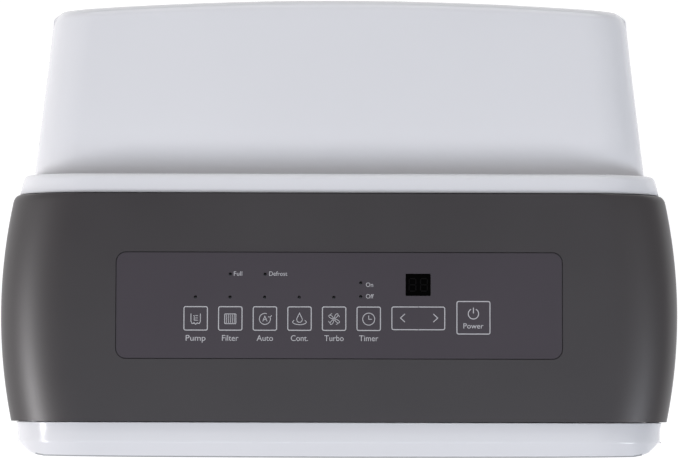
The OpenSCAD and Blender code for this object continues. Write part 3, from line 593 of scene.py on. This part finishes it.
def arc(cx, cy, r, a0, a1, n):
    return [(cx + r * math.cos(math.radians(a0 + (a1 - a0) * i / n)),
             cy + r * math.sin(math.radians(a0 + (a1 - a0) * i / n))) for i in range(n + 1)]


def bezier(p0, p1, p2, p3, n):
    out = []
    for i in range(n + 1):
        t = i / n
        c = ((1 - t) ** 3, 3 * t * (1 - t) ** 2, 3 * t * t * (1 - t), t ** 3)
        out.append((sum(k * p[0] for k, p in zip(c, (p0, p1, p2, p3))),
                    sum(k * p[1] for k, p in zip(c, (p0, p1, p2, p3)))))
    return out


def text_mesh(word):
    """The word as a flat mesh, in the font's own units."""
    cu = bpy.data.curves.new("word", "FONT")
    cu.body = word
    cu.resolution_u = 4
    cu.materials.append(MATS["print_grey"])
    obj = bpy.data.objects.new("word", cu)
    scene.collection.objects.link(obj)
    return bake(obj)


def capital_height():
    probe = text_mesh("H")
    height = max(v.co.y for v in probe.data.vertices)
    bpy.data.objects.remove(probe)
    return height


CAPITAL = capital_height()


def lettering(word, left, y, width, cap):
    """A generic function word, cap high and width wide, that starts at left and stands on y."""
    obj = text_mesh(word)
    xs = [v.co.x for v in obj.data.vertices]
    start, sx, sy = min(xs), width / (max(xs) - min(xs)), cap / CAPITAL
    for v in obj.data.vertices:
        v.co = (((v.co.x - start) * sx + left) * MM, (v.co.y * sy + y) * MM, PRINT_Z * MM)
    ink = obj.modifiers.new("ink", "SOLIDIFY")
    ink.thickness = 0.04 * MM
    ink.offset = 0
    return bake(obj)


LABEL_Y, LABEL_CAP, SMALL_CAP = -19.9, 3.15, 2.4
LABELS = {"pump": ("Pump", 11.1), "filter": ("Filter", 9.2), "auto": ("Auto", 9.2),
          "continuous": ("Cont.", 9.6), "turbo": ("Turbo", 10.8), "timer": ("Timer", 10.7)}
legends = [lettering(word, KEY_X[key] - width / 2, OY + LABEL_Y, width, LABEL_CAP)
           for key, (word, width) in LABELS.items()]
# beside the lamps: word, left end, y and width
legends += [lettering(word, left, OY + y, width, SMALL_CAP) for word, left, y, width in (
    ("Full", -59.1, 16.6, 4.7), ("Defrost", -39.3, 16.6, 10.2),
    ("On", 15.0, 10.5, 4.0), ("Off", 15.0, 4.0, 4.4))]
legend = join(legends, "overlay_legends")
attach(legend, "cabinet")


def icon_pump(x, y):
    """A tank with a pipe and an arrow that leaves it."""
    return [ribbon([(x - 2.9, y + 3.2), (x - 2.9, y - 1.6), (x - 2.3, y - 2.9), (x - 0.9, y - 2.9)], 0.45),
            ribbon([(x + 2.9, y + 3.2), (x + 2.9, y - 1.6), (x + 2.3, y - 2.9), (x + 0.9, y - 2.9)], 0.45),
            ribbon([(x - 1.2, y - 2.2), (x, y - 3.5), (x + 1.2, y - 2.2)], 0.42),
            ribbon([(x - 1.4, y + 1.9), (x - 0.9, y + 1.9), (x - 0.9, y - 0.9), (x + 1.5, y - 0.9)], 0.38),
            ribbon([(x - 0.2, y + 1.9), (x + 1.4, y + 1.9)], 0.38),
            ribbon([(x - 0.2, y + 0.5), (x + 1.4, y + 0.5)], 0.38)]


def icon_filter(x, y):
    """A frame with wavy threads."""
    out = [ribbon(rounded_rect(x, y, 6.9, 6.0, 0.3, 2), 0.45, True)]
    for i in range(5):
        sx = x - 2.4 + i * 1.2
        thread = bezier((sx, y - 2.6), (sx + 0.5, y - 0.9), (sx - 0.4, y + 0.9), (sx + 0.2, y + 2.6), 6)
        out.append(ribbon(thread, 0.34))
    return out


def icon_auto(x, y):
    """A letter A inside an arrow that comes round."""
    return [ribbon(arc(x, y, 3.4, 70, 380, 30), 0.42),
            ribbon([(x + 1.9, y + 1.3), (x + 3.2, y + 1.1), (x + 4.2, y + 2.2)], 0.4),
            ribbon([(x - 1.35, y - 1.5), (x, y + 1.7), (x + 1.35, y - 1.5)], 0.42),
            ribbon([(x - 0.8, y - 0.45), (x + 0.8, y - 0.45)], 0.36)]


def icon_drop(x, y):
    """A drop that falls on water."""
    drop = (bezier((x, y + 3.6), (x - 0.5, y + 2.2), (x - 1.7, y + 0.8), (x - 1.7, y - 0.4), 8)
            + arc(x, y - 0.4, 1.7, 180, 360, 12)[1:]
            + bezier((x + 1.7, y - 0.4), (x + 1.7, y + 0.8), (x + 0.5, y + 2.2), (x, y + 3.6), 8)[1:-1])
    wave = [(x + 4.2 * math.cos(math.radians(a)), y - 1.9 + 1.6 * math.sin(math.radians(a)))
            for a in range(140, 401, 10)]
    return [ribbon(drop, 0.42, True), ribbon(wave, 0.42)]


def icon_fan(x, y):
    """Four blades, each with a stroke of air outside it."""
    out = []
    for k in range(4):
        a = math.radians(90 * k + 12)
        c, s = math.cos(a), math.sin(a)
        pts = (bezier((0.2, 0.2), (0.6, 1.6), (1.4, 2.9), (2.6, 2.9), 6)
               + bezier((2.6, 2.9), (3.6, 2.2), (2.4, 0.9), (0.5, 0.1), 6)[1:])
        out.append(ribbon([(x + c * px - s * py, y + s * px + c * py) for px, py in pts], 0.36))
        out.append(ribbon([(x + 3.6 * math.cos(a + t), y + 3.6 * math.sin(a + t))
                           for t in (0.15, 0.3, 0.45, 0.6)], 0.34))
    return out


def icon_clock(x, y):
    """A clock face with two hands."""
    return [ribbon(arc(x, y, 3.7, 0, 360, 40)[:-1], 0.45, True),
            ribbon([(x, y + 2.2), (x, y - 0.1), (x + 2.0, y - 0.1)], 0.42)]


def icon_power(x, y):
    """An open ring with a stroke, and its word below."""
    return [ribbon(arc(x, y + 2.4, 2.9, 118, 422, 30), 0.5),
            ribbon([(x, y + 2.6), (x, y + 5.9)], 0.5),
            lettering("Power", x - 5.6, y - 5.8, 11.2, 2.85)]


def icon_arrow(x, y, side):
    """A chevron whose tip is at x."""
    return ribbon([(x - side * 2.5, y + 2.3), (x, y), (x - side * 2.5, y - 2.3)], 0.46)


def key_piece(node, marks, ring=True):
    """A key's cap with its marks, and a ring round its edge."""
    x, y, w, d = KEYS[node]
    cy = OY + y
    cap = plate(node + "_cap", [rounded_rect(x, cy, w, d, 1.2, 6)], CAP_Z, OZ, ("key_film",), 0.05, 1)
    parts = [cap]
    if ring:
        parts.append(ribbon(rounded_rect(x, cy, w - LINE, d - LINE, 0.95, 6), LINE, True))
    parts += marks
    obj = join(parts, node + "_face")
    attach(obj, node + "_body")
    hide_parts(node)


def key_frame_half(node, side):
    """Three sides of the outline that the two arrow keys share."""
    x, y, w, d = KEYS[node]
    cy = OY + y
    inner, outer, half, r = x - side * w / 2, x + side * (w / 2 - LINE / 2), d / 2 - LINE / 2, 1.0
    turns = [math.radians(t) for t in range(0, 91, 15)]
    pts = [(inner, cy - half)]
    pts += [(outer - side * r + side * r * math.sin(t), cy - half + r - r * math.cos(t)) for t in turns]
    pts += [(outer - side * r + side * r * math.cos(t), cy + half - r + r * math.sin(t)) for t in turns]
    pts.append((inner, cy + half))
    return ribbon(pts, LINE)


def smaller(pieces, x, y, f):
    """Draws an icon's strokes at a smaller size around (x, y)."""
    for piece in pieces:
        for v in piece.data.vertices:
            v.co.x = x * MM + (v.co.x - x * MM) * f
            v.co.y = y * MM + (v.co.y - y * MM) * f
    return pieces


ICON_Y, ICON_SCALE, MARK_Y = OY + KEY_Y - 0.2, 0.91, OY - 6.9
for key, icon in (("pump", icon_pump), ("filter", icon_filter), ("auto", icon_auto),
                  ("continuous", icon_drop), ("turbo", icon_fan), ("timer", icon_clock)):
    key_piece("key_" + key, smaller(icon(KEY_X[key], ICON_Y), KEY_X[key], ICON_Y, ICON_SCALE))
key_piece("key_down", [key_frame_half("key_down", -1), icon_arrow(34.4, MARK_Y, -1)], False)
key_piece("key_up", [key_frame_half("key_up", 1), icon_arrow(55.3, MARK_Y, 1)], False)
key_piece("key_power", icon_power(75.3, MARK_Y))

# two unlit seven-segment digits in the face of the display glass
SEGMENTS = ((0, 1, False), (0, 0, False), (0, -1, False),
            (-1, 0.5, True), (1, 0.5, True), (-1, -0.5, True), (1, -0.5, True))
digits = []
for cx in (DISPLAY_X - 3.2, DISPLAY_X + 3.2):
    for sx, sy, upright in SEGMENTS:
        px, py = cx + sx * 1.9, OY + DISPLAY_Y + sy * 3.5
        pts = [(px, py - 1.4), (px, py + 1.4)] if upright else [(px - 1.5, py), (px + 1.5, py)]
        digits.append(ribbon(pts, 0.6, False, OZ - 0.05, OZ - 0.01, ("ghost_segment",)))
digits = join(digits, "display_digits")
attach(digits, "cabinet")

# ---------------------------------------------------------------- the CAD's own nodes
# how wide their edges are rounded (mm); the casters' by 0.4, the rest not at all
EDGE = {"base_pan": 0.8, "front_shell": 0.7, "rear_housing": 0.8, "front_panel": 0.9, "bucket_front": 0.9,
        "handle_cup_left": 0.6, "handle_cup_right": 0.6, "air_outlet_grille": 0.4, "intake_grille": 0.5,
        "filter_frame": 0.5, "bulkhead": 0.3, "drip_tray": 0.5, "blower_housing": 0.4,
        "condensate_pump": 0.6, "control_box": 0.6, "run_capacitor": 0.8, "bucket_tub": 0.5,
        "bucket_bail": 0.4, "bucket_float": 1.0, "drain_outlet": 0.5, "drain_plug": 0.4,
        "pump_hose_socket": 0.5, "cord_gland": 0.5, "housing_screws": 0.15, "fan_motor": 0.8,
        "compressor": 0.8}
for name, node in NODES.items():
    dress(node, SLOT_OF[name])
    soften(node, 28)
    width = EDGE.get(name, 0.4 if name.startswith("caster") else 0.0)
    if width and not node.hide_render:
        edge_soft(node, width, 2, 34)

# ---------------------------------------------------------------- floor, light
floor_mat, nt, bsdf = new_material("floor")
bsdf.inputs["Base Color"].default_value = (0.35, 0.35, 0.35, 1)
bsdf.inputs["Roughness"].default_value = 0.9
bsdf.inputs["Emission Color"].default_value = (1, 1, 1, 1)
bsdf.inputs["Emission Strength"].default_value = 0.80
FLOOR = 6.0                                # half its side, in metres
floor_mesh = bpy.data.meshes.new("floor")
floor_mesh.from_pydata([(-FLOOR, -FLOOR, 0), (FLOOR, -FLOOR, 0), (FLOOR, FLOOR, 0), (-FLOOR, FLOOR, 0)],
                       [], [(0, 1, 2, 3)])
floor = bpy.data.objects.new("floor", floor_mesh)
scene.collection.objects.link(floor)
floor_mesh.materials.append(floor_mat)

# soft surroundings: dimmer straight overhead and on the right than on the left
world = bpy.data.worlds.new("world")
world.use_nodes = True
wt = world.node_tree
sky = wt.nodes["Background"]
sky.inputs[0].default_value = (1.0, 1.0, 1.02, 1)
direction = wt.nodes.new("ShaderNodeTexCoord")
axes = wt.nodes.new("ShaderNodeSeparateXYZ")
wt.links.new(direction.outputs["Generated"], axes.inputs[0])
strength = wt.nodes.new("ShaderNodeMath")
strength.operation = "MULTIPLY"
for i, (axis, ends) in enumerate((("Z", (0.72, 0.96, 0.32, 0.08)), ("X", (-1.0, 1.0, 1.25, 0.75)))):
    fade = wt.nodes.new("ShaderNodeMapRange")
    for socket, value in zip(("From Min", "From Max", "To Min", "To Max"), ends):
        fade.inputs[socket].default_value = value
    wt.links.new(axes.outputs[axis], fade.inputs["Value"])
    wt.links.new(fade.outputs["Result"], strength.inputs[i])
wt.links.new(strength.outputs[0], sky.inputs[1])
scene.world = world
scene.view_settings.view_transform = "Standard"
scene.view_settings.look = "None"


def softbox(name, direction, distance, size, power, color=(1, 1, 1)):
    """A rectangular lamp that looks at the top of the cabinet; metres and watts."""
    data = bpy.data.lights.new(name, "AREA")
    data.shape = "RECTANGLE"
    data.size, data.size_y = size
    data.energy = power
    data.color = color
    obj = bpy.data.objects.new(name, data)
    scene.collection.objects.link(obj)
    aim = Vector((0, 0, 0.6))
    obj.location = aim + Vector(direction).normalized() * distance
    obj.rotation_euler = (aim - obj.location).to_track_quat("-Z", "Y").to_euler()


softbox("key_left", (-0.815, -0.28, 0.52), 2.0, (0.8, 0.15), 18, color=(1.0, 0.985, 1.0))
softbox("wall_left", (-1.0, 0.15, 0.10), 2.6, (3.0, 1.6), 6)
softbox("key_right", (0.73, -0.40, 0.60), 2.2, (0.6, 0.6), 15, color=(0.90, 0.93, 1.0))
softbox("front", (0.0, -0.36, 1.0), 3.0, (2.0, 1.0), 13.5, color=(0.76, 0.87, 1.0))
softbox("back", (0.1, 0.90, 0.42), 3.0, (2.4, 1.2), 22)
